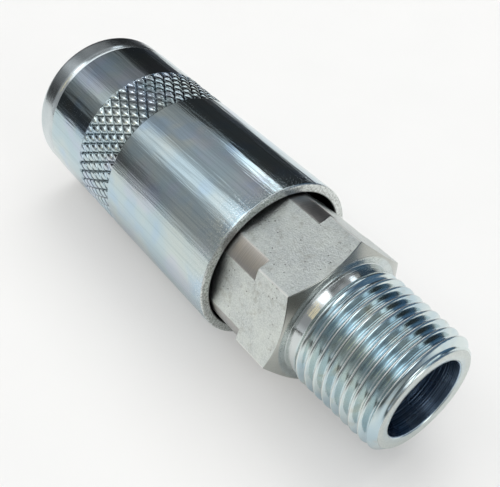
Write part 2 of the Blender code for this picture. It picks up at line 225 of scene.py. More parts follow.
# Where the hexagon's outline is sampled, in degrees from a corner: evenly, closely over the
# corner's arc, and at the edges of the turned-down patch.
hex_turns = np.arange(0, 60, 1.5)
corner_turns = np.array([-0.5, -0.33, -0.22, -0.11, 0.11, 0.22, 0.33, 0.5])
patch_turn = 30 - math.degrees(math.acos(hex_flats / 2 / hex_turned_radius))
sixth = np.unique(
    np.round(np.concatenate([hex_turns, corner_turns, [patch_turn, -patch_turn]]) % 60, 4)
)
body_turns = np.radians(np.append((np.arange(6)[:, None] * 60 + sixth).ravel(), 360))
body_angle = hex_corner_turn + body_turns
across = hexagon(body_angle)
turned_down = np.minimum(across, hex_turned_radius)
level = np.ones_like(across)
# Station, radius and break of each corner, from the end face inwards and round to the neck.
body_corners = [
    (length, bore_radius + 0.25, 0.05),
    (length - 0.25, bore_radius, 0.05),
    (counterbore_back, bore_radius, 0.1),
    (counterbore_back, counterbore_radius, 0.1),
    (collar_front, counterbore_radius, 0.1),
    (collar_front, collar_radius - 0.4, 0.1),
    (collar_front + 0.4, collar_radius, 0.1),
    (hex_back, collar_radius, 0.05),
    (hex_back, turned_down, 0.05),
    (hex_turned_to, turned_down, 0.03),
    (hex_turned_to, across, 0.08),
    (hex_front - (across - hex_face_radius) * hex_chamfer_slope, across, 0.09),
    (hex_front, hex_face_radius, 0.06),
    (hex_front, neck_radius, 0.12),
]
corner_points = np.array([[s * level, r * level] for s, r, _ in body_corners])
body_rows = softened(corner_points.transpose(0, 2, 1), [c[2] for c in body_corners])
thread_station, thread_radius = thread_surface(body_turns)
body_station = np.vstack([body_rows[..., 0], thread_station])
body_radius = np.vstack([body_rows[..., 1], thread_radius])
threaded_body = solid(
    "threaded_body_piece",
    around_axis(body_station, body_radius, body_angle[None, :]),
    grid_faces(*body_station.shape, True, False),
)


class Wire:
    """A node's output. Python's operators on it add Math nodes."""

    def __init__(self, tree, socket):
        self.tree = tree
        self.socket = socket

    def node(self, kind, settings=None, inputs=None, output=0):
        """Adds any node: its settings first, then the values or links of its sockets."""
        made = self.tree.nodes.new("ShaderNode" + kind)
        for name, value in (settings or {}).items():
            if name == "stops":
                ramp = made.color_ramp.elements
                while len(ramp) < len(value):
                    ramp.new(0.5)
                for element, (position, colour) in zip(ramp, value):
                    element.position = position
                    element.color = (*colour, 1.0)
            else:
                setattr(made, name, value)
        for name, value in (inputs or {}).items():
            socket = made.inputs[name]
            if isinstance(value, Wire):
                self.tree.links.new(value.socket, socket)
            elif socket.type == "RGBA":
                socket.default_value = (*value, 1.0)
            else:
                socket.default_value = value
        return Wire(self.tree, made.outputs[output])

    def math(self, operation, *others):
        """Adds a Math node on this value and the others."""
        inputs = dict(enumerate((self, *others)))
        return self.node("Math", {"operation": operation}, inputs)

    def __add__(self, other):
        return self.math("ADD", other)

    def __mul__(self, other):
        return self.math("MULTIPLY", other)

    def __sub__(self, other):
        return self.math("SUBTRACT", other)

    def __rsub__(self, other):
        return self.node("Math", {"operation": "SUBTRACT"}, {0: other, 1: self})

    def __truediv__(self, other):
        return self.math("DIVIDE", other)

    def __pow__(self, other):
        return self.math("POWER", other)

    __radd__ = __add__
    __rmul__ = __mul__

    def between(self, low, high, smooth=True):
        """0 at low and below, 1 at high and above, and a ramp in between."""
        kind = "SMOOTHSTEP" if smooth else "LINEAR"
        inputs = {"Value": self, "From Min": low, "From Max": high}
        return self.node("MapRange", {"interpolation_type": kind}, inputs)

    def inside(self, low, high, edge):
        """1 between low and high, falling to 0 over the edge width outside them."""
        return self.between(low - edge, low) * (1 - self.between(high, high + edge))

    def blend(self, first, second):
        """A colour that is the first where this is 0 and the second where it is 1."""
        inputs = {0: self, 6: first, 7: second}
        return self.node("Mix", {"data_type": "RGBA"}, inputs, output=2)


class Finish:
    """A metal or rubber finish: a material with the coordinates that its pattern follows, in
    millimetres: the station, the distance from the axis, and the turn about it in radians."""

    def __init__(self, name):
        self.material = bpy.data.materials.new(name)
        self.material.use_nodes = True
        tree = self.material.node_tree
        self.shader = tree.nodes["Principled BSDF"]
        self.start = Wire(tree, None)
        self.place = self.start.node("TexCoord", output=3)
        apart = self.place.node("SeparateXYZ", inputs={0: self.place})
        x, y, z = (Wire(tree, socket) for socket in apart.socket.node.outputs)
        self.station = x * 1000 - nose_face
        self.off_axis = (y * y + z * z) ** 0.5 * 1000
        self.turn = z.math("ARCTAN2", y)

    def grain(self, scale, detail=2.0, roughness=0.5, where=None):
        """Noise from 0 to 1 with so many features to the metre, or at other places."""
        inputs = {"Vector": where or self.place, "Scale": scale, "Detail": detail}
        inputs["Roughness"] = roughness
        return self.start.node("TexNoise", inputs=inputs)

    def shifted(self, by):
        """The coordinates moved along, for a second noise that does not match the first."""
        return self.start.node(
            "VectorMath", {"operation": "ADD"}, {0: self.place, 1: by}
        )

    def stretched(self, along, across, detail=2.0, roughness=0.5):
        """Noise with so many features to the metre along the axis and across it."""
        factors = {0: self.place, 1: (along, across, across)}
        where = self.start.node("VectorMath", {"operation": "MULTIPLY"}, factors)
        return self.grain(1.0, detail, roughness, where)

    def tool_marks(self, per_mm, lead=0.0):
        """Fine rings left by a turning tool, or a spiral where lead is not 0, with passes
        of uneven depth."""
        along = (self.station + self.turn * (lead / math.tau)) * per_mm
        where = self.start.node("CombineXYZ", inputs={"X": along})
        return self.grain(1.0, 2.0, 0.6, where)

    def face_rings(self, per_mm):
        """Fine rings on a face square to the axis."""
        where = self.start.node("CombineXYZ", inputs={"Y": self.off_axis * per_mm})
        return self.grain(1.0, 2.0, 0.6, where)

    def pitting(self, scale):
        """Distance from scattered points, so many to the metre, as a share of their
        spacing. It is shaken a little, so that pits are not round."""
        shaken = self.start.node(
            "TexNoise", inputs={"Vector": self.place, "Scale": scale * 3}, output=1
        )
        factors = {0: shaken, 1: (0.5 / scale,) * 3, 2: self.place}
        where = self.start.node("VectorMath", {"operation": "MULTIPLY_ADD"}, factors)
        return self.start.node("TexVoronoi", inputs={"Vector": where, "Scale": scale})

    def bumped(self, layers):
        """Bump from (height, depth in metres) layers, each added to the one before."""
        normal = None
        for height, depth in layers:
            inputs = {"Height": height, "Distance": depth, "Strength": 1.0}
            if normal:
                inputs["Normal"] = normal
            normal = self.start.node("Bump", inputs=inputs)
        return normal

    def finish(self, colour, roughness, metallic=1.0, normal=None, **fixed):
        """Feeds the material's shader with numbers, colours or wires, by socket name."""
        values = {"Base Color": colour, "Roughness": roughness, "Metallic": metallic}
        if normal:
            values["Normal"] = normal
        for name, value in (values | fixed).items():
            socket = self.shader.inputs[name]
            if isinstance(value, Wire):
                self.start.tree.links.new(value.socket, socket)
            elif socket.type == "RGBA":
                socket.default_value = (*value, 1.0)
            else:
                socket.default_value = value
        return self.material


plated = Finish("plated_body")
before_neck = 1 - plated.station.between(hex_front - 0.05, hex_front + 0.1, False)
in_bore = 1 - plated.off_axis.between(bore_radius + 0.02, bore_radius + 0.12, False)
on_end = plated.station.between(length - 0.12, length - 0.03, False) * (1 - in_bore)
chamfer_gap = (
    plated.station - hex_front + (plated.off_axis - hex_face_radius) * hex_chamfer_slope
)
on_chamfer = chamfer_gap.between(-0.12, -0.03) * before_neck
on_patch = (1 - plated.station.between(hex_turned_to - 0.02, hex_turned_to + 0.02)) * (
    plated.off_axis.between(hex_turned_radius - 0.05, hex_turned_radius - 0.02)
)
on_bar = before_neck * (1 - on_chamfer) * (1 - on_patch)
# Wear and painted highlight: a pale band along the hexagon's rounded corners, partly rubbed
# plating and partly a painted edge highlight.
corner_wear_and_highlight = plated.off_axis.between(13.72, 13.80) * on_bar
off_crest = thread_gauge_radius + (thread_gauge_plane - plated.station) * thread_taper
crest_line = (plated.off_axis - off_crest).between(-0.035, -0.008)
on_thread = plated.station.between(thread_start, thread_start + 0.8) * (1 - in_bore)
worn_crest = crest_line * on_thread * (1 - on_end)

cloud = plated.grain(220.0, 3.0, 0.6)
sand = plated.grain(4200.0, 3.0, 0.7)
pits = 1 - plated.pitting(1500.0).between(0.10, 0.26)
pits = pits * plated.grain(330.0, 2.0).between(0.50, 0.62)
stain = plated.grain(520.0, 4.0, 0.75, plated.shifted((0.4, 0.2, 0.9)))
bar_colour = cloud.between(0.3, 0.7).blend((0.54, 0.57, 0.55), (0.68, 0.71, 0.66))
bar_colour = (sand.between(0.35, 0.65) * 0.6).blend(bar_colour, (0.86, 0.88, 0.84))
bar_colour = (stain.between(0.50, 0.70) * 0.45).blend(bar_colour, (0.36, 0.35, 0.29))
bar_colour = (pits * 0.8).blend(bar_colour, (0.12, 0.11, 0.09))
# The pale band along the corners: wear and a painted highlight.
bar_colour = corner_wear_and_highlight.blend(bar_colour, (0.84, 0.84, 0.80))
patch_marks = plated.tool_marks(7.0)
patch_colour = patch_marks.between(0.3, 0.7).blend((0.42, 0.40, 0.38), (0.64, 0.61, 0.57))
tint = plated.grain(170.0, 2.0, 0.5)
thread_colour = tint.between(0.35, 0.65).blend((0.50, 0.62, 0.67), (0.68, 0.75, 0.73))
thread_colour = (plated.grain(420.0, 3.0).between(0.55, 0.7) * 0.4).blend(
    thread_colour, (0.56, 0.52, 0.42)
)
thread_colour = (worn_crest * 0.8).blend(thread_colour, (0.82, 0.83, 0.80))
bore_spiral = plated.tool_marks(4.5, lead=0.8)
end_colour = sand.between(0.3, 0.7).blend((0.58, 0.61, 0.58), (0.72, 0.75, 0.71))
on_neck = plated.station.inside(hex_front + 0.1, thread_start - 0.1, 0.15) * (1 - in_bore)
thread_colour = on_neck.blend(thread_colour, (0.64, 0.67, 0.66))
body_colour = before_neck.blend(thread_colour, bar_colour)
# Painted shade: the hexagon's front chamfer is painted darker for the shadow that it lies in.
body_colour = (on_chamfer * 0.8).blend(body_colour, (0.42, 0.42, 0.38))
body_colour = on_patch.blend(body_colour, patch_colour)
body_colour = on_end.blend(body_colour, end_colour)
# Painted shade: the bore is painted dark blue for the shade inside it, and its spiral tool
# marks are painted lighter as highlights.
bore_colour = bore_spiral.between(0.40, 0.70).blend((0.10, 0.16, 0.25), (0.42, 0.54, 0.68))
body_colour = in_bore.blend(body_colour, bore_colour)
body_roughness = 0.15 + on_bar * 0.20 + on_patch * 0.14 + on_end * 0.25 + worn_crest * 0.2
body_roughness = body_roughness + (cloud - 0.5) * 0.10 + on_chamfer * 0.06
body_roughness = body_roughness + in_bore * 0.12 - on_neck * 0.07
fine_rings = plated.tool_marks(12.0)
body_normal = plated.bumped(
    [
        (sand * on_bar, 0.00006),
        (plated.grain(1600.0, 3.0, 0.7) * on_bar, 0.00006),
        (1 - pits * on_bar, 0.00005),
        (patch_marks * on_patch, 0.00003),
        (fine_rings * (1 - before_neck) * (1 - in_bore), 0.000008),
        (plated.face_rings(7.0) * on_end, 0.00003),
        (bore_spiral * in_bore, 0.00014),
    ]
)
threaded_body.data.materials.append(
    plated.finish(body_colour, body_roughness, normal=body_normal)
)
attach(threaded_body, "body")
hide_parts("threaded_body")


# --- Socket barrel -------------------------------------------------------------------------
# A turned steel barrel that screws into the threaded body. Its domed nose flange stops the
# sleeve, its bore takes the plug, and radial holes behind the nose hold the locking balls.

nose_radius = 14.72
nose_round = 1.8
shoulder_front = 4.2
shoulder_tilt = math.radians(24)
flange_back = 5.75
mouth_lead_radius = 7.9
socket_radius = 6.3
barrel_radius = 9.1
barrel_back = 57.5
seal_groove = (19.0, 21.6, 7.9)
seat_front = 24.2
seat_back = 25.6
seat_radius = 5.2
chamber_radius = 7.0
circlip_groove = (46.6, 47.8, 7.7)
o_ring_groove = (51.1, 52.9, 8.2)
ball_station = 12.5
ball_radius = 1.75
ball_centre = 7.35
ball_turns = (np.arange(8) + 0.5) * math.tau / 8
hole_inner = 5.2
hole_inner_radius = 1.82
hole_outer = 10.0
hole_outer_radius = 2.0
hole_columns = 48

round_turn = np.linspace(math.pi, math.pi / 2, 20)
nose_front = np.stack(
    [
        nose_round + nose_round * np.cos(round_turn),
        nose_radius - nose_round + nose_round * np.sin(round_turn),
    ],
    axis=1,
)
# Behind its cylinder the flange falls away in an arc that starts along the axis.
shoulder_turn = np.linspace(0, shoulder_tilt, 12)
shoulder_round = (flange_back - shoulder_front - 0.1) / math.sin(shoulder_tilt)
shoulder = np.stack(
    [
        shoulder_front + shoulder_round * np.sin(shoulder_turn),
        nose_radius - shoulder_round * (1 - np.cos(shoulder_turn)),
    ],
    axis=1,
)
barrel_corners = [
    (flange_back, shoulder[-1, 1] - 0.08, 0.06),
    (flange_back, barrel_radius, 0.1),
    (o_ring_groove[0], barrel_radius, 0.08),
    (o_ring_groove[0], o_ring_groove[2], 0.08),
    (o_ring_groove[1], o_ring_groove[2], 0.08),
    (o_ring_groove[1], barrel_radius, 0.08),
    (barrel_back, barrel_radius, 0.15),
    (barrel_back, chamber_radius, 0.15),
    (circlip_groove[1], chamber_radius, 0.06),
    (circlip_groove[1], circlip_groove[2], 0.06),
    (circlip_groove[0], circlip_groove[2], 0.06),
    (circlip_groove[0], chamber_radius, 0.06),
    (seat_back, chamber_radius, 0.08),
    (seat_back, seat_radius, 0.08),
    (seat_front, seat_radius, 0.08),
    (seat_front - 0.8, socket_radius, 0.08),
    (seal_groove[1], socket_radius, 0.08),
    (seal_groove[1], seal_groove[2], 0.08),
    (seal_groove[0], seal_groove[2], 0.08),
    (seal_groove[0], socket_radius, 0.08),
    (1.6, socket_radius, 0.2),
    (0.0, mouth_lead_radius, 0.2),
    (0.0, nose_radius - nose_round - 0.6, 0.05),
]
barrel_outline = softened([c[:2] for c in barrel_corners], [c[2] for c in barrel_corners])
barrel = turned("barrel_piece", np.vstack([barrel_outline, nose_front[1:], shoulder]))


def ball_holes():
    """One mesh of tapered plugs, one for each ball, as wide as the holes that hold them. Each
    is a disc, a cone and a disc, swept round the ball's own line out from the axis."""
    turn = np.arange(hole_columns) * math.tau / hole_columns
    depth = np.array([hole_inner, hole_inner, hole_outer, hole_outer])
    reach = np.array([0.0, hole_inner_radius, hole_outer_radius, 0.0])
    across = reach[:, None] * np.cos(turn)
    along = ball_station + reach[:, None] * np.sin(turn)
    out = np.broadcast_to(depth[:, None], across.shape)
    spin = ball_turns[:, None, None]
    y = out * np.cos(spin) - across * np.sin(spin)
    z = out * np.sin(spin) + across * np.cos(spin)
    x = np.broadcast_to(nose_face + along, y.shape)
    points = np.stack([x, y, z], axis=-1)
    rows = len(depth)
    faces = grid_faces(rows, hole_columns, False, True)
    starts = rows * hole_columns * np.arange(len(ball_turns))
    return points, (faces + starts[:, None, None]).reshape(-1, 4)


def cut_away(piece, cutters):
    """Cuts closed shapes out of a piece and keeps the result as its mesh."""
    for cutter in cutters:
        cut = piece.modifiers.new("cut", "BOOLEAN")
        cut.object = cutter
        cut.solver = "EXACT"
    bpy.context.view_layer.update()
    ready = piece.evaluated_get(bpy.context.evaluated_depsgraph_get())
    shaped = bpy.data.meshes.new_from_object(ready)
    piece.modifiers.clear()
    piece.data = shaped
    for cutter in cutters:
        bpy.data.objects.remove(cutter)
    shaped.materials.clear()
    shaped.shade_smooth()
    shaped.set_sharp_from_angle(angle=math.radians(38))


cut_away(barrel, [solid("ball_hole_plugs", *ball_holes())])

nose_plate = Finish("plated_nose")
nose_cloud = nose_plate.grain(200.0, 3.0, 0.55)
nose_colour = nose_cloud.between(0.3, 0.7).blend((0.56, 0.61, 0.62), (0.68, 0.72, 0.72))
nose_roughness = 0.16 + nose_cloud * 0.1
nose_normal = nose_plate.bumped(
    [(nose_plate.tool_marks(10.0), 0.000006), (nose_plate.grain(1800.0, 3.0), 0.000006)]
)
barrel.data.materials.append(
    nose_plate.finish(nose_colour, nose_roughness, normal=nose_normal)
)
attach(barrel, "body")
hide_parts("socket_barrel")


# --- Locking balls -------------------------------------------------------------------------
# Hardened and polished bearing balls, dropped into the barrel's holes before the sleeve goes
# on, which keeps them pressed into the groove of the plug.

ball_steel = Finish("ball_steel")
ball_smear = ball_steel.grain(900.0, 3.0, 0.6)
ball_material = ball_steel.finish(
    ball_smear.blend((0.60, 0.61, 0.62), (0.70, 0.70, 0.69)), 0.06 + ball_smear * 0.08
)
ball_rows = 25
ball_columns = 48
ball_down = np.linspace(0, math.pi, ball_rows)[:, None]
ball_round = np.arange(ball_columns)[None, :] * math.tau / ball_columns
for number, spin in enumerate(ball_turns, 1):
    ball_x = nose_face + ball_station + ball_radius * np.cos(ball_down) + 0 * ball_round
    ball_y = ball_centre * math.cos(spin) + ball_radius * np.sin(ball_down) * np.cos(ball_round)
    ball_z = ball_centre * math.sin(spin) + ball_radius * np.sin(ball_down) * np.sin(ball_round)
    ball = solid(
        f"ball_piece_{number}",
        np.stack([ball_x, ball_y, ball_z], axis=-1),
        grid_faces(ball_rows, ball_columns, False, True),
    )
    ball.data.materials.append(ball_material)
    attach(ball, f"ball_{number}")
    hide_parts(f"locking_ball_{number}")


# --- Plug seal and O-ring ------------------------------------------------------------------
# Moulded nitrile rubber: a lipped ring snapped into the socket, which grips the plug's nose,
# and an O-ring stretched over the barrel before it is screwed into the threaded body.

rubber = Finish("nitrile_rubber")
rubber_bloom = rubber.grain(700.0, 4.0, 0.6)
rubber_material = rubber.finish(
    rubber_bloom.blend((0.012, 0.012, 0.013), (0.035, 0.035, 0.036)),
    0.45 + rubber_bloom * 0.25,
    metallic=0.0,
    normal=rubber.bumped([(rubber.grain(6000.0, 2.0), 0.00001)]),
)


def rubber_ring(name, outline, body, node):
    """A ring turned from its outline, on one body and in place of one plain node."""
    ring = turned(name, outline, 160)
    ring.data.materials.append(rubber_material)
    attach(ring, body)
    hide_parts(node)


seal_middle = (seal_groove[0] + seal_groove[1]) / 2
lip_half = 0.35
lip_radius = 6.0
lip_corners = [
    (seal_groove[0] + 0.1, seal_groove[2] - 0.05),
    (seal_groove[1] - 0.1, seal_groove[2] - 0.05),
    (seal_groove[1] - 0.1, socket_radius + 0.1),
    (seal_middle + lip_half, lip_radius),
    (seal_middle - lip_half, lip_radius),
    (seal_groove[0] + 0.1, socket_radius + 0.1),
]
rubber_ring("plug_seal_piece", softened(lip_corners, [0.2] * 6), "body", "plug_seal")
o_ring_size = 0.55
o_ring_stretch = 0.04
o_ring_turn = np.arange(32) * math.tau / 32
o_ring_outline = np.stack(
    [
        (o_ring_groove[0] + o_ring_groove[1]) / 2 + o_ring_size * np.cos(o_ring_turn),
        o_ring_groove[2] + o_ring_size + o_ring_stretch + o_ring_size * np.sin(o_ring_turn),
    ],
    axis=1,
)
rubber_ring("o_ring_piece", o_ring_outline, "body", "barrel_o_ring")


# --- Check valve ---------------------------------------------------------------------------
# A brass poppet turned from rod, its hollow nose slotted for the air. A rubber ring snapped
# behind the nose closes on the barrel's seat, and the stem slides in a drilled guide disc.

brass = Finish("valve_brass")
brass_cloud = brass.grain(300.0, 4.0, 0.6)
brass_material = brass.finish(
    brass_cloud.between(0.3, 0.7).blend((0.66, 0.47, 0.20), (0.80, 0.62, 0.32)),
    0.22 + brass_cloud * 0.15,
    normal=brass.bumped([(brass.tool_marks(12.0), 0.00001)]),
)


def slab(name, low, high):
    """A box between two corners, its station measured from the nose."""
    low, high = np.array(low, float), np.array(high, float)
    pick = np.array([[0, 0, 0], [1, 0, 0], [1, 1, 0], [0, 1, 0]])
    corners = np.concatenate([pick, pick + [0, 0, 1]])
    points = low + corners * (high - low) + [nose_face, 0, 0]
    faces = np.array(
        [[0, 3, 2, 1], [4, 5, 6, 7], [0, 1, 5, 4], [1, 2, 6, 5], [2, 3, 7, 6], [3, 0, 4, 7]]
    )
    return solid(name, points, faces)


poppet_front = 20.6
nose_bore = 2.8
nose_outer = 4.4
nose_bore_depth = 4.0
slot_half = 1.0
slot_depth = 3.0
slot_reach = 9.0
seal_neck_radius = 4.0
head_front = 27.6
head_back = 29.4
head_radius = 6.3
stem_radius = 2.0
stem_back = 44.8
poppet_corners = [
    (poppet_front + nose_bore_depth, 0.0, 0.0),
    (poppet_front + nose_bore_depth, nose_bore, 0.15),
    (poppet_front, nose_bore, 0.2),
    (poppet_front, nose_outer, 0.3),
    (seat_back, nose_outer, 0.1),
    (seat_back, seal_neck_radius, 0.1),
    (head_front, seal_neck_radius, 0.1),
    (head_front, head_radius, 0.1),
    (head_back, head_radius, 0.35),
    (head_back, stem_radius, 0.3),
    (stem_back, stem_radius, 0.4),
    (stem_back, 0.0, 0.0),
]
poppet_outline = softened([c[:2] for c in poppet_corners], [c[2] for c in poppet_corners])
poppet = turned("poppet_piece", poppet_outline, 128)
slot_front = poppet_front - 1.0
slot_back = poppet_front + slot_depth
cut_away(
    poppet,
    [
        slab(
            "slot_y",
            (slot_front, -slot_reach, -slot_half),
            (slot_back, slot_reach, slot_half),
        ),
        slab(
            "slot_z",
            (slot_front, -slot_half, -slot_reach),
            (slot_back, slot_half, slot_reach),
        ),
    ],
)
guide_front = 43.0
guide_back = 46.2
guide_radius = 6.85
guide_bore = stem_radius + 0.12
air_hole_circle = 4.7
air_hole_radius = 1.3
guide_corners = [
    (guide_front, guide_bore),
    (guide_front, guide_radius),
    (guide_back, guide_radius),
    (guide_back, guide_bore),
]
guide = turned("guide_piece", softened(guide_corners, [0.15] * 4), 128)
air_turns = np.arange(6) * math.tau / 6
drill_columns = 40
drill_turn = np.arange(drill_columns) * math.tau / drill_columns
drills = []
for spin in air_turns:
    reach = np.array([0.0, air_hole_radius, air_hole_radius, 0.0])[:, None]
    drill_x = np.array([guide_front - 1, guide_front - 1, guide_back + 1, guide_back + 1])
    drill_y = air_hole_circle * math.cos(spin) + reach * np.cos(drill_turn)
    drill_z = air_hole_circle * math.sin(spin) + reach * np.sin(drill_turn)
    drill_points = np.stack(
        [np.broadcast_to(nose_face + drill_x[:, None], drill_y.shape), drill_y, drill_z],
        axis=-1,
    )
    drill_faces = grid_faces(len(reach), drill_columns, False, True)
    drills.append(solid("air_drill", drill_points, drill_faces))
cut_away(guide, drills)
for piece, body, node in (
    (poppet, "valve", "valve_poppet"),
    (guide, "body", "valve_guide"),
):
    piece.data.materials.append(brass_material)
    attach(piece, body)
    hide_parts(node)
valve_seal_inner = 4.05
valve_seal_outer = 6.5
valve_seal_corners = [
    (seat_back + 0.02, valve_seal_inner),
    (seat_back + 0.02, valve_seal_outer),
    (head_front - 0.02, valve_seal_outer),
    (head_front - 0.02, valve_seal_inner),
]
valve_seal_outline = softened(valve_seal_corners, [0.2] * 4)
rubber_ring("valve_seal_piece", valve_seal_outline, "valve", "valve_seal")


# --- Springs, washers and circlip ----------------------------------------------------------
# Springs coiled from drawn wire with their ends closed and ground flat, the two punched
# washers that the sleeve's spring turns between, and the circlip that holds the guide.

spring_steel = Finish("spring_steel")
wire_lines = spring_steel.grain(1500.0, 3.0, 0.6)
spring_material = spring_steel.finish(
    wire_lines.blend((0.36, 0.36, 0.37), (0.48, 0.48, 0.49)),
    0.24 + wire_lines * 0.14,
    normal=spring_steel.bumped([(spring_steel.grain(4000.0, 2.0), 0.000008)]),
)


def coil(front, back, radius, wire, turns, rows=36, sides=14):
    """Round wire on a helix whose pitch closes to the wire's own thickness over the first
    and last turns. Where a turn would pass an end plane, it is ground flat there."""
    closed_turns = 1.2
    along = np.linspace(0, 1, rows * turns + 1)
    turn = along * turns * math.tau
    from_end = np.minimum(along, 1 - along) * turns
    closing = np.clip(from_end, 0, closed_turns) / closed_turns
    pitch = closing * closing * (3 - 2 * closing)
    rise = np.cumsum(pitch) - pitch[0]
    closed = np.arange(len(along)) / rows * wire * 0.98
    open_length = back - front - wire * 0.5 - closed[-1]
    station = front + wire * 0.25 + closed + open_length * rise / rise[-1]
    across = np.arange(sides) * math.tau / sides
    sections = radius + wire / 2 * np.cos(across)[None, :]
    lift = station[:, None] + wire / 2 * np.sin(across)[None, :]
    lift = np.clip(lift, front, back)
    tube = around_axis(lift, sections, turn[:, None])
    ends = [tube[:1].mean(axis=1, keepdims=True), tube[-1:].mean(axis=1, keepdims=True)]
    caps = [np.repeat(end, sides, axis=1) for end in ends]
    faces = grid_faces(len(along) + 2, sides, False, True)
    return np.concatenate([caps[0], tube, caps[1]]), faces


washer_thickness = 1.0
washer_radius = 12.3
clip_inner = 6.2
clip_outer = 7.6
land_back = 18.0
end_gap = 0.05
front_washer = land_back + end_gap
rear_washer = collar_front - washer_thickness - end_gap
sleeve_spring_ends = (front_washer + washer_thickness, rear_washer)
valve_spring_ends = (head_back + end_gap, guide_front - end_gap)
sleeve_travel = 6.0
valve_travel = 4.0
for name, ends, radius, wire, turns, body, node, joint, travel, fixed in (
    ("sleeve_spring_piece", sleeve_spring_ends, 11.1, 1.4, 8, "spring_seat",
     "sleeve_spring", "sleeve_slide", sleeve_travel, sleeve_spring_ends[1]),
    ("valve_spring_piece", valve_spring_ends, 4.6, 0.9, 7, "body",
     "valve_spring", "valve_slide", valve_travel, valve_spring_ends[1]),
):
    points, faces = coil(*ends, radius, wire, turns)
    piece = solid(name, points, faces, sharp_deg=50)
    piece.data.materials.append(spring_material)
    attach(piece, body)
    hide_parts(node)
    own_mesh(piece)
for name, front, body, node in (
    ("front_washer_piece", front_washer, "sleeve", "front_spring_washer"),
    ("rear_washer_piece", rear_washer, "spring_seat", "rear_spring_washer"),
):
    back = front + washer_thickness
    inner = barrel_radius + 0.15
    corners = [(front, inner), (front, washer_radius), (back, washer_radius), (back, inner)]
    washer = turned(name, softened(corners, [0.15] * 4), 160)
    washer.data.materials.append(spring_material)
    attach(washer, body)
    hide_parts(node)
clip_turn = np.linspace(0, math.radians(330), 120)
clip_front = circlip_groove[0] + 0.1
clip_back = circlip_groove[1] - 0.1
clip_corners = [
    (clip_front, clip_inner),
    (clip_front, clip_outer),
    (clip_back, clip_outer),
    (clip_back, clip_inner),
]
clip_outline = softened(clip_corners, [0.1] * 4, 2)
clip_points = around_axis(
    clip_outline[None, :, 0], clip_outline[None, :, 1], clip_turn[:, None]
)
clip_ends = [
    np.repeat(clip_points[k : k + 1].mean(axis=1, keepdims=True), len(clip_outline), axis=1)
    for k in (0, len(clip_turn) - 1)
]
clip_points = np.concatenate([clip_ends[0], clip_points, clip_ends[1]])
circlip = solid(
    "circlip_piece",
    clip_points,
    grid_faces(len(clip_turn) + 2, len(clip_outline), False, True),
)
circlip.data.materials.append(spring_material)
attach(circlip, "body")
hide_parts("guide_circlip")


# --- Sleeve --------------------------------------------------------------------------------
# The release sleeve, turned from drawn tube that has left faint lines along it. A band of
# diamond knurling is rolled into it near the front. Its mouth's rim is rubbed bare and pale.

sleeve_radius = 14.85
sleeve_front = 5.9
sleeve_mouth = 56.5
mouth_bore = 13.25
chamber_back = 46.0
spring_chamber = 12.6
land_radius = 9.4
relief_radius = 10.5
knurl_front = 17.0
knurl_back = 27.4
knurl_around = 48
knurl_fine = 12
knurl_steps = 38
knurl_rate = knurl_steps / knurl_fine / (knurl_back - knurl_front)
knurl_depth = 0.42
knurl_land = 2 / 3
knurl_crown = 0.07
knurl_fade = 0.25
knurl_crossing = (22.16, math.radians(98.56))


def knurl(station, turn):
    """Depth of the knurling. Two families of straight-sided grooves wind round the band in
    opposite directions, at the same rate, and each diamond between them is crowned by the
    sum of two parabolas, one across each family. It fades out at the band's two edges."""
    along = (station - knurl_crossing[0]) * knurl_rate
    around = (turn - knurl_crossing[1]) * knurl_around / math.tau
    off_middle = np.stack([2 * np.abs((around + way * along) % 1 - 0.5) for way in (1, -1)])
    crown = (knurl_crown * np.minimum(off_middle / knurl_land, 1) ** 2).sum(axis=0)
    groove = np.clip((off_middle - knurl_land) / (1 - knurl_land), 0, 1).max(axis=0)
    edge = np.minimum(station - knurl_front, knurl_back - station)
    return (crown + (knurl_depth - crown) * groove) * np.clip(edge / knurl_fade, 0, 1)


def split_along_valleys(faces, height):
    """Splits each four-cornered face along the diagonal whose ends differ less in height, so
    that grooves which run across the grid stay straight."""
    first = np.abs(height[faces[:, 0]] - height[faces[:, 2]])
    second = np.abs(height[faces[:, 1]] - height[faces[:, 3]])
    turn = (first > second)[:, None]
    rolled = np.where(turn, np.roll(faces, -1, axis=1), faces)
    return np.concatenate([rolled[:, [0, 1, 2]], rolled[:, [0, 2, 3]]])


sleeve_corners = [
    (knurl_back, sleeve_radius, 0.01),
    (sleeve_mouth, sleeve_radius, 0.35),
    (sleeve_mouth, mouth_bore, 0.25),
    (chamber_back, mouth_bore, 0.1),
    (chamber_back - 0.6, spring_chamber, 0.1),
    (land_back, spring_chamber, 0.1),
    (land_back, land_radius, 0.15),
    (ball_station, land_radius, 0.1),
    (ball_station - sleeve_travel, relief_radius, 0.1),
    (sleeve_front, relief_radius, 0.1),
    (sleeve_front, sleeve_radius, 0.22),
    (knurl_front, sleeve_radius, 0.01),
]
sleeve_outline = softened([c[:2] for c in sleeve_corners], [c[2] for c in sleeve_corners], 5)
sleeve_columns = knurl_fine * knurl_around
sleeve_turn = knurl_crossing[1] + np.arange(sleeve_columns) * math.tau / sleeve_columns
knurl_station = np.linspace(knurl_front, knurl_back, knurl_steps + 1)[1:-1, None]
sleeve_station = np.vstack(
    [sleeve_outline[:, :1] + 0 * sleeve_turn, knurl_station + 0 * sleeve_turn]
)
sleeve_r = np.vstack(
    [
        sleeve_outline[:, 1:] + 0 * sleeve_turn,
        sleeve_radius - knurl(knurl_station, sleeve_turn[None, :]),
    ]
)
sleeve_points = around_axis(sleeve_station, sleeve_r, sleeve_turn[None, :])
sleeve_faces = grid_faces(*sleeve_station.shape, True, True)
sleeve_faces = split_along_valleys(sleeve_faces, sleeve_r.ravel())
sleeve = solid("sleeve_piece", sleeve_points, sleeve_faces, sharp_deg=24)

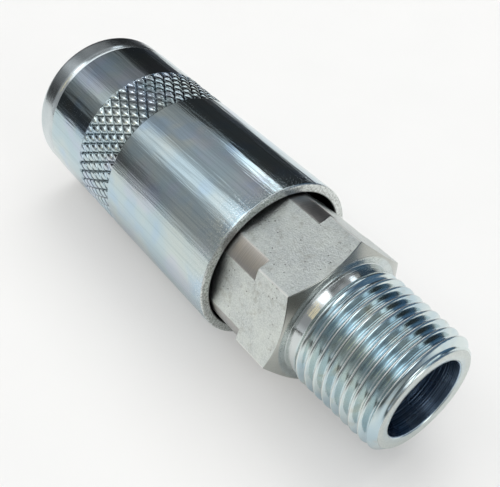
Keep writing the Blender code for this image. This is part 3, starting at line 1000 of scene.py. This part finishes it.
sleeve_plate = Finish("plated_sleeve")
streaks = sleeve_plate.stretched(30.0, 2600.0, 2.0, 0.6)
broad_streaks = sleeve_plate.stretched(38.0, 420.0, 3.0, 0.5)
sleeve_cloud = sleeve_plate.grain(90.0, 3.0, 0.55)
blush = sleeve_plate.grain(150.0, 2.0, 0.5, sleeve_plate.shifted((0.3, 0.1, 0.7)))
speckle = sleeve_plate.grain(3400.0, 3.0, 0.65)
in_knurl = sleeve_plate.station.inside(knurl_front + 0.1, knurl_back - 0.1, 0.1)
plain = 1 - in_knurl
near_mouth = sleeve_plate.station.between(sleeve_mouth - 8.0, sleeve_mouth - 0.5)
rim = sleeve_plate.station.between(sleeve_mouth - 0.32, sleeve_mouth - 0.12)
inside_sleeve = 1 - sleeve_plate.off_axis.between(mouth_bore + 0.1, mouth_bore + 0.3)
# Painted shade and grime: the bottoms of the knurl's grooves are painted near black, for the
# shade in the grooves as well as dirt.
groove_grime_and_shade = in_knurl * (
    1 - sleeve_plate.off_axis.between(sleeve_radius - 0.40, sleeve_radius - 0.15)
)
sleeve_colour = sleeve_cloud.between(0.35, 0.65).blend((0.50, 0.62, 0.66), (0.60, 0.66, 0.63))
sleeve_colour = (blush.between(0.5, 0.7) * 0.5).blend(sleeve_colour, (0.40, 0.56, 0.74))
violet = sleeve_plate.grain(120.0, 2.0, 0.5, sleeve_plate.shifted((0.8, 0.5, 0.2)))
sleeve_colour = (violet.between(0.52, 0.68) * 0.35).blend(sleeve_colour, (0.60, 0.58, 0.74))
sleeve_colour = (streaks.between(0.45, 0.7) * plain * 0.4).blend(
    sleeve_colour, (0.34, 0.42, 0.44)
)
# The knurl's grooves darkened: painted shade and grime.
sleeve_colour = (groove_grime_and_shade * 0.85).blend(sleeve_colour, (0.05, 0.07, 0.08))
scuffs = near_mouth * speckle.between(0.5, 0.62)
sleeve_colour = (scuffs * 0.5).blend(sleeve_colour, (0.74, 0.78, 0.78))
rim_colour = speckle.between(0.42, 0.62).blend((0.76, 0.78, 0.75), (0.44, 0.45, 0.42))
sleeve_colour = rim.blend(sleeve_colour, rim_colour)
# Painted shade: the sleeve's inside surfaces are painted near black for the shade in them.
sleeve_colour = inside_sleeve.blend(sleeve_colour, (0.10, 0.10, 0.10))
sleeve_roughness = 0.11 + (streaks - 0.5) * 0.10 + scuffs * 0.18 + rim * 0.22
sleeve_normal = sleeve_plate.bumped(
    [
        (streaks * plain, 0.000018),
        (broad_streaks * plain, 0.00014),
        (speckle * (0.1 + near_mouth + in_knurl), 0.000012),
    ]
)
sleeve.data.materials.append(
    sleeve_plate.finish(sleeve_colour, sleeve_roughness, normal=sleeve_normal)
)
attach(sleeve, "sleeve")
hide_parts("sleeve")


# --- Table, light and camera ---------------------------------------------------------------
# The coupler lies on its sleeve on a plain white table. Its metal mirrors a strip of white
# paper on a dark bench, and a dim room with windows, a row of lamps and a bright far end.


def flat_ground(name, half_side, height):
    """A square centred on the origin, facing up, its half side in metres. Nothing under it
    needs its shadow."""
    mesh = bpy.data.meshes.new(name)
    corners = [(half_side * x, half_side * y) for x, y in ((-1, -1), (1, -1), (1, 1), (-1, 1))]
    mesh.from_pydata([(x, y, height * MM) for x, y in corners], [], [(0, 1, 2, 3)])
    ground = bpy.data.objects.new(name, mesh)
    bpy.context.scene.collection.objects.link(ground)
    ground.visible_shadow = False
    return ground


rest_height = -sleeve_radius - 0.03
ground_half_side = 3.0
table = flat_ground("table", ground_half_side, rest_height)
table.visible_glossy = False
table_finish = Finish("white_table")
table_mottle = table_finish.grain(60.0, 2.0, 0.5)
table_colour = table_mottle.blend((0.48, 0.475, 0.465), (0.50, 0.495, 0.485))
table_glow = {"Emission Color": (1.0, 0.985, 0.965), "Emission Strength": 0.30}
table.data.materials.append(
    table_finish.finish(table_colour, 0.7, metallic=0.0, **table_glow)
)

paper = flat_ground("paper", ground_half_side, rest_height + 0.02)
paper.visible_camera = False
paper.visible_diffuse = False
paper_finish = Finish("white_paper")
away = paper_finish.place.node(
    "VectorMath", {"operation": "DOT_PRODUCT"}, {0: paper_finish.place, 1: (-0.8, 0.6, 0.0)}, 1
)
to_far_side = paper_finish.place.node(
    "SeparateXYZ", inputs={0: paper_finish.place}, output=1
)
bench = to_far_side.between(0.0, 0.12).blend((0.05, 0.05, 0.045), (0.05, 0.10, 0.17))
paper_colour = away.between(-0.13, -0.06).blend(bench, (0.74, 0.74, 0.73))
paper_colour = away.between(0.10, 0.18).blend(paper_colour, (0.03, 0.03, 0.035))
paper.data.materials.append(paper_finish.finish(paper_colour, 0.9, metallic=0.0))

world = bpy.data.worlds.new("room")
bpy.context.scene.world = world
world.use_nodes = True
room = Wire(world.node_tree, None)
direction = room.node("TexCoord", output=0)
apart = direction.node("SeparateXYZ", inputs={0: direction}).socket.node.outputs
room_x, room_y, room_z = (Wire(world.node_tree, socket) for socket in apart)


def window(centre, reach, edge):
    """1 for directions within reach degrees of the centre, falling to 0 over the edge."""
    centre = np.array(centre) / np.linalg.norm(centre)
    facing = direction.node(
        "VectorMath", {"operation": "DOT_PRODUCT"}, {0: direction, 1: tuple(centre)}, 1
    )
    return facing.between(math.cos(math.radians(reach + edge)), math.cos(math.radians(reach)))


# The room's light by bearing, in degrees from the far horizon, over the top, to the near one.
room_bearing = room_z.math("ARCTAN2", room_y) / math.pi
room_light = [
    (0, 0.035),
    (18, 0.035),
    (36, 0.035),
    (42, 0.07),
    (47, 0.30),
    (56, 0.38),
    (65, 0.37),
    (79, 0.50),
    (90, 0.44),
    (97, 0.46),
    (105, 0.80),
    (114, 1.12),
    (123, 0.92),
    (131, 0.44),
    (140, 0.34),
    (155, 0.34),
    (167, 0.36),
    (175, 0.55),
    (180, 0.75),
]
room_stops = [
    (degrees / 180, (0.97 * light, light, 1.04 * light)) for degrees, light in room_light
]
room_colour = direction.node("ValToRGB", {"stops": room_stops}, {0: room_bearing})
room_dim = 0.5 + room_x.between(-0.80, -0.66) * 0.5
room_dim = room_dim * (1 - window((-0.80, -0.58, 0.15), 5, 9) * 0.85)
over_hexagon = room_x.between(-0.56, -0.53) * room_bearing.inside(0.38, 0.54, 0.06)
room_dim = room_dim * (1 - over_hexagon * 0.62)
lamp_strip = (
    room_x.inside(-0.33, -0.10, 0.04)
    * room_y.inside(-0.60, 0.72, 0.06)
    * room_z.between(0.3, 0.5)
)
room_colour = room_dim.blend((0.0, 0.0, 0.0), room_colour)
over_neck = room_x.inside(-0.495, -0.435, 0.01)
neck_window = over_neck * room_bearing.inside(0.57, 0.66, 0.012)
neck_card = over_neck * room_bearing.inside(0.69, 0.83, 0.012)
# The room past the thread's end, from its near side to its far side.
end_light = [
    (-0.16, (0.10, 0.11, 0.11)),
    (-0.06, (0.55, 0.60, 0.62)),
    (-0.02, (2.6, 2.7, 2.75)),
    (0.20, (2.6, 2.7, 2.75)),
    (0.26, (0.60, 0.68, 0.72)),
    (0.36, (0.30, 0.38, 0.46)),
    (0.46, (0.08, 0.13, 0.21)),
    (0.60, (0.09, 0.15, 0.23)),
    (0.74, (0.14, 0.22, 0.32)),
    (0.84, (0.40, 0.46, 0.52)),
]
end_stops = [((across + 1) / 2, colour) for across, colour in end_light]
end_room = direction.node("ValToRGB", {"stops": end_stops}, {0: room_y * 0.5 + 0.5})
end_room = (1 - room_z.between(0.12, 0.22)).blend(end_room, (0.22, 0.25, 0.27))
end_room = room_z.between(0.55, 0.75).blend(end_room, (0.10, 0.12, 0.14))
far_side = room_x.between(-0.35, -0.25) * (1 - room_bearing.between(0.22, 0.28))
room_colour = far_side.blend(room_colour, (0.09, 0.16, 0.25))
room_colour = room_x.between(0.60, 0.75).blend(room_colour, end_room)
far_window = window((-0.57, 0.54, 0.62), 3.5, 3)
roof_window = window((-0.42, -0.32, 0.85), 6, 8)
for mask, light in (
    (far_window, (1.75, 1.90, 2.05)),
    (roof_window, (1.55, 1.62, 1.70)),
    (lamp_strip, (1.5, 1.55, 1.6)),
    (neck_window, (4.2, 4.4, 4.4)),
    (neck_card, (1.30, 1.12, 0.72)),
):
    room_colour = mask.blend(room_colour, light)
# The lens itself sees a pale wall past the far edge of the table.
room_colour = room.node("LightPath").blend(room_colour, (0.92, 0.91, 0.90))
backdrop = world.node_tree.nodes["Background"]
world.node_tree.links.new(room_colour.socket, backdrop.inputs["Color"])
backdrop.inputs["Strength"].default_value = 1.0
bpy.context.scene.view_settings.view_transform = "Standard"


def panel(name, place, target, size, power, colour):
    """A rectangular soft light that faces a point."""
    light = bpy.data.lights.new(name, "AREA")
    light.shape = "RECTANGLE"
    light.size, light.size_y = size
    light.energy = power
    light.color = colour
    lamp = bpy.data.objects.new(name, light)
    towards = np.array(target, float) - np.array(place, float)
    ahead = towards / np.linalg.norm(towards)
    side = np.cross(ahead, (0, 0, 1))
    side /= np.linalg.norm(side)
    over = np.cross(side, ahead)
    turn = Matrix(np.array([side, over, -ahead]).T.tolist()).to_4x4()
    lamp.matrix_world = Matrix.Translation(place) @ turn
    lamp.visible_camera = False
    lamp.visible_glossy = False
    bpy.context.scene.collection.objects.link(lamp)
    return lamp


panel("key", (-0.15, 0.45, 0.85), (0, 0, 0), (0.9, 0.6), 3.4, (1.0, 0.99, 0.97))
panel("ceiling", (0.0, 0.01, 1.2), (0, 0, 0), (2.4, 2.4), 15.5, (1.0, 1.0, 1.0))

camera_place = (0.07914, -0.05634, 0.09187)
camera_right = (0.60175, 0.79868, 0.0)
camera_up = (-0.56387, 0.42484, 0.70821)
camera_back = (0.56563, -0.42617, 0.70601)
camera_data = bpy.data.cameras.new("camera")
camera_data.sensor_width = 36.0
camera_data.lens = 55.66
camera_data.clip_start = 0.005
camera = bpy.data.objects.new("camera", camera_data)
camera_turn = Matrix((camera_right, camera_up, camera_back)).transposed().to_4x4()
camera.matrix_world = Matrix.Translation(camera_place) @ camera_turn
bpy.context.scene.collection.objects.link(camera)
bpy.context.scene.camera = camera
